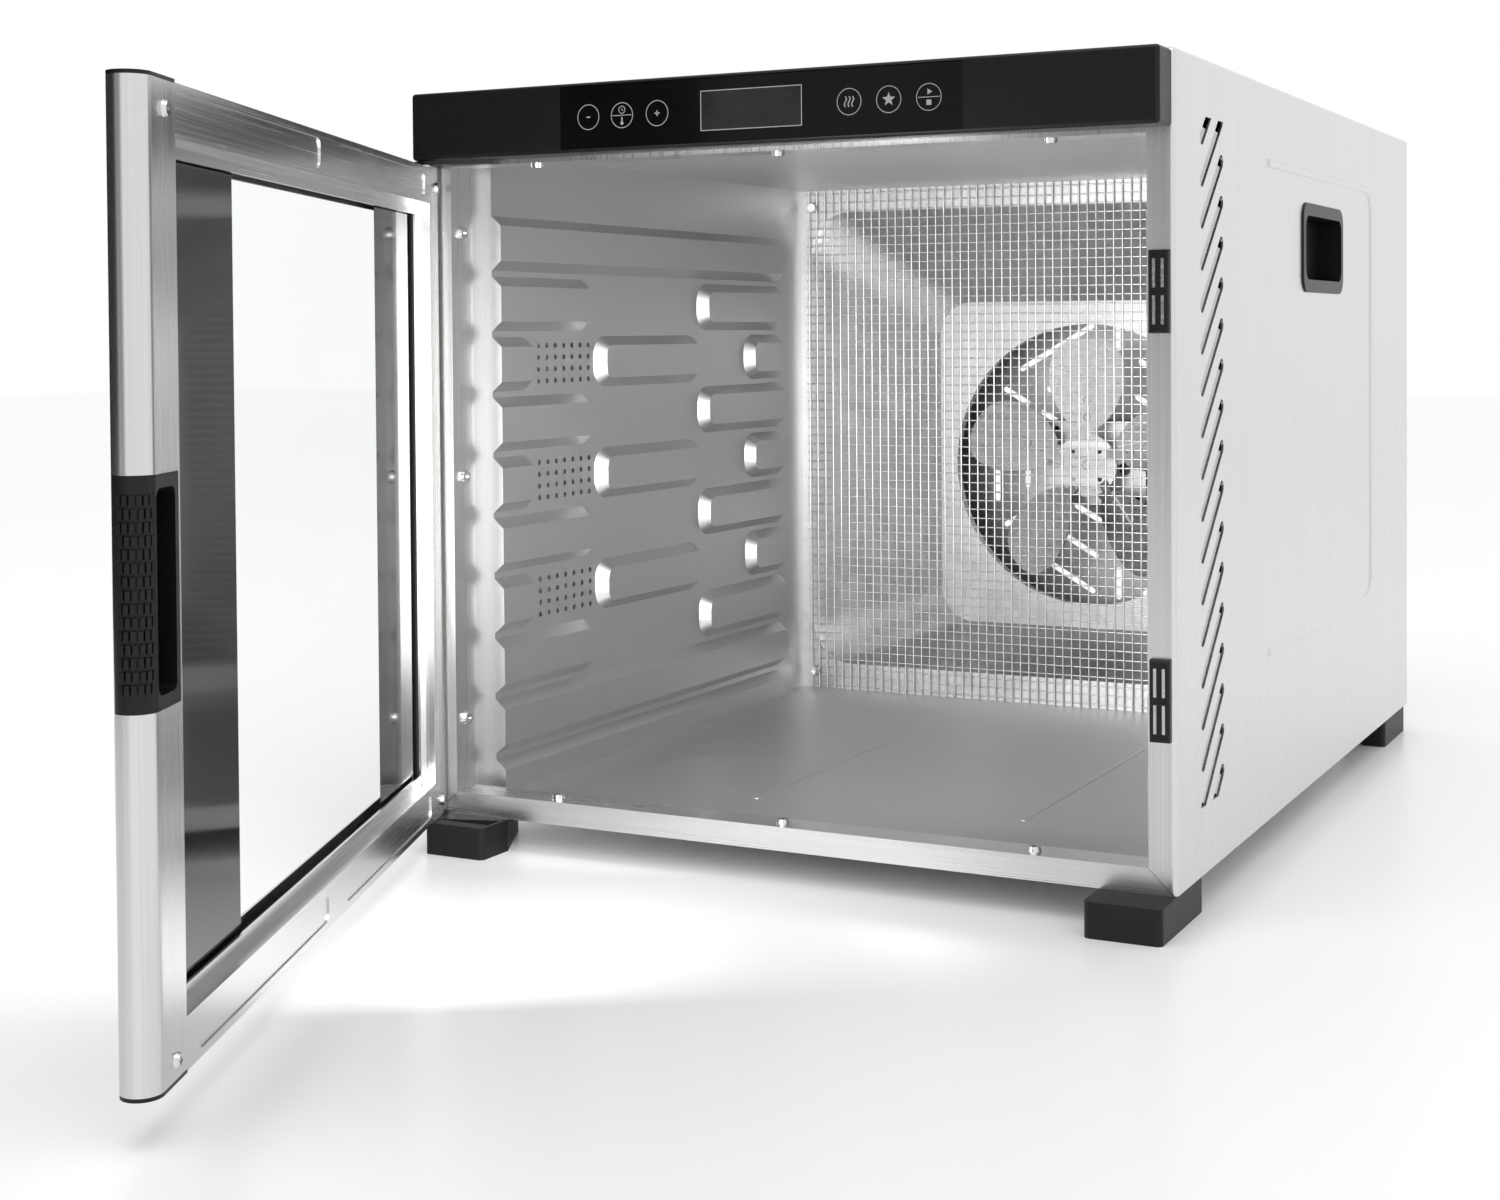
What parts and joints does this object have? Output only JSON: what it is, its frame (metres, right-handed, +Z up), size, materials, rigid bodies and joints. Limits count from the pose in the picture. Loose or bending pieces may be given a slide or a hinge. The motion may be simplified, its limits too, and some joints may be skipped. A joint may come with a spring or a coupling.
{
  "type": "food dehydrator",
  "caption": "Tabletop food dehydrator: a steel cabinet with ribbed tray walls, a glazed side-hung door standing open, and a fan behind a wire guard.",
  "frame": {"origin": "on the worktop, below the middle of the cabinet", "axes": "+X to the cabinet's right as seen from the front, +Y to the rear, +Z up"},
  "size_m": [0.3514, 0.7955, 0.337],
  "materials": {
    "brushed_steel": "brushed",
    "satin_liner": "satin",
    "galvanised": "mottled zinc",
    "guard_steel": "bright wire",
    "fan_aluminium": "rolled",
    "machined_steel": "turned",
    "screw_steel": "plated",
    "laminated_iron": "laminated",
    "copper_coil": "taped winding",
    "bearing_bronze": "sintered",
    "zinc_posts": "turned",
    "heater_sheath": "heat-tinted",
    "sensor_brass": "plain",
    "black_plastic": "fine texture",
    "hinge_black": "satin black",
    "bush_plastic": "plain",
    "foot_rubber": "matte",
    "gasket_rubber": "matte",
    "panel_glass": "black-backed",
    "door_clear_glass": "clear with black side bands",
    "display_grey": "window",
    "board_green": "solder mask",
    "cable_grey": "plain"
  },
  "bodies": {
    "cabinet": {"outer_shell": "brushed_steel", "bottom_pan": "brushed_steel", "left_rack_wall": "satin_liner", "right_rack_wall": "satin_liner", "ceiling_liner": "satin_liner", "floor_liner": "satin_liner", "fan_shroud": "galvanised", "rear_cover": "galvanised", "motor_front_bracket": "galvanised", "motor_rear_bracket": "galvanised", "heater_clips": "galvanised", "guard_wires": "guard_steel", "hinge_pins": "machined_steel", "catch_plates": "machined_steel", "cover_screws": "screw_steel", "guard_screws": "screw_steel", "frame_screws": "screw_steel", "inlet_screws": "screw_steel", "foot_screws": "screw_steel", "motor_stator": "laminated_iron", "motor_coil": "copper_coil", "motor_bearings": "bearing_bronze", "motor_posts": "zinc_posts", "board_standoffs": "zinc_posts", "heating_element": "heater_sheath", "temperature_sensor": "sensor_brass", "inlet_pins": "sensor_brass", "control_housing": "black_plastic", "left_handle_cup": "black_plastic", "right_handle_cup": "black_plastic", "mains_inlet": "black_plastic", "thermal_cutout": "black_plastic", "upper_catch": "black_plastic", "lower_catch": "black_plastic", "hinge_plate_lower": "hinge_black", "hinge_plate_upper": "hinge_black", "foot_front_left": "foot_rubber", "foot_front_right": "foot_rubber", "foot_rear_left": "foot_rubber", "foot_rear_right": "foot_rubber", "touch_glass": "panel_glass", "display_module": "display_grey", "control_board": "board_green", "power_board": "board_green", "ribbon_cable": "cable_grey"},
    "door": {"door_hinge_stile": "brushed_steel", "door_handle_stile": "brushed_steel", "door_top_rail": "brushed_steel", "door_bottom_rail": "brushed_steel", "door_glass": "door_clear_glass", "door_gasket": "gasket_rubber", "door_grip": "black_plastic", "door_caps": "black_plastic", "door_screws": "screw_steel", "hinge_bushes": "bush_plastic"},
    "fan": {"fan_blades": "fan_aluminium", "fan_spider": "fan_aluminium", "fan_rivets": "fan_aluminium", "motor_shaft": "machined_steel", "motor_rotor": "machined_steel"}
  },
  "joints": [
    {"name": "door_hinge", "type": "hinge", "parent": "cabinet", "child": "door", "pos_m": [-0.1685, -0.2355, 0.1755], "axis": [0, 0, -1], "range_deg": [-66.5, 48.5]},
    {"name": "fan_spin", "type": "hinge", "parent": "cabinet", "child": "fan", "pos_m": [0, 0.1695, 0.151], "axis": [0, -1, 0], "continuous": true}
  ]
}
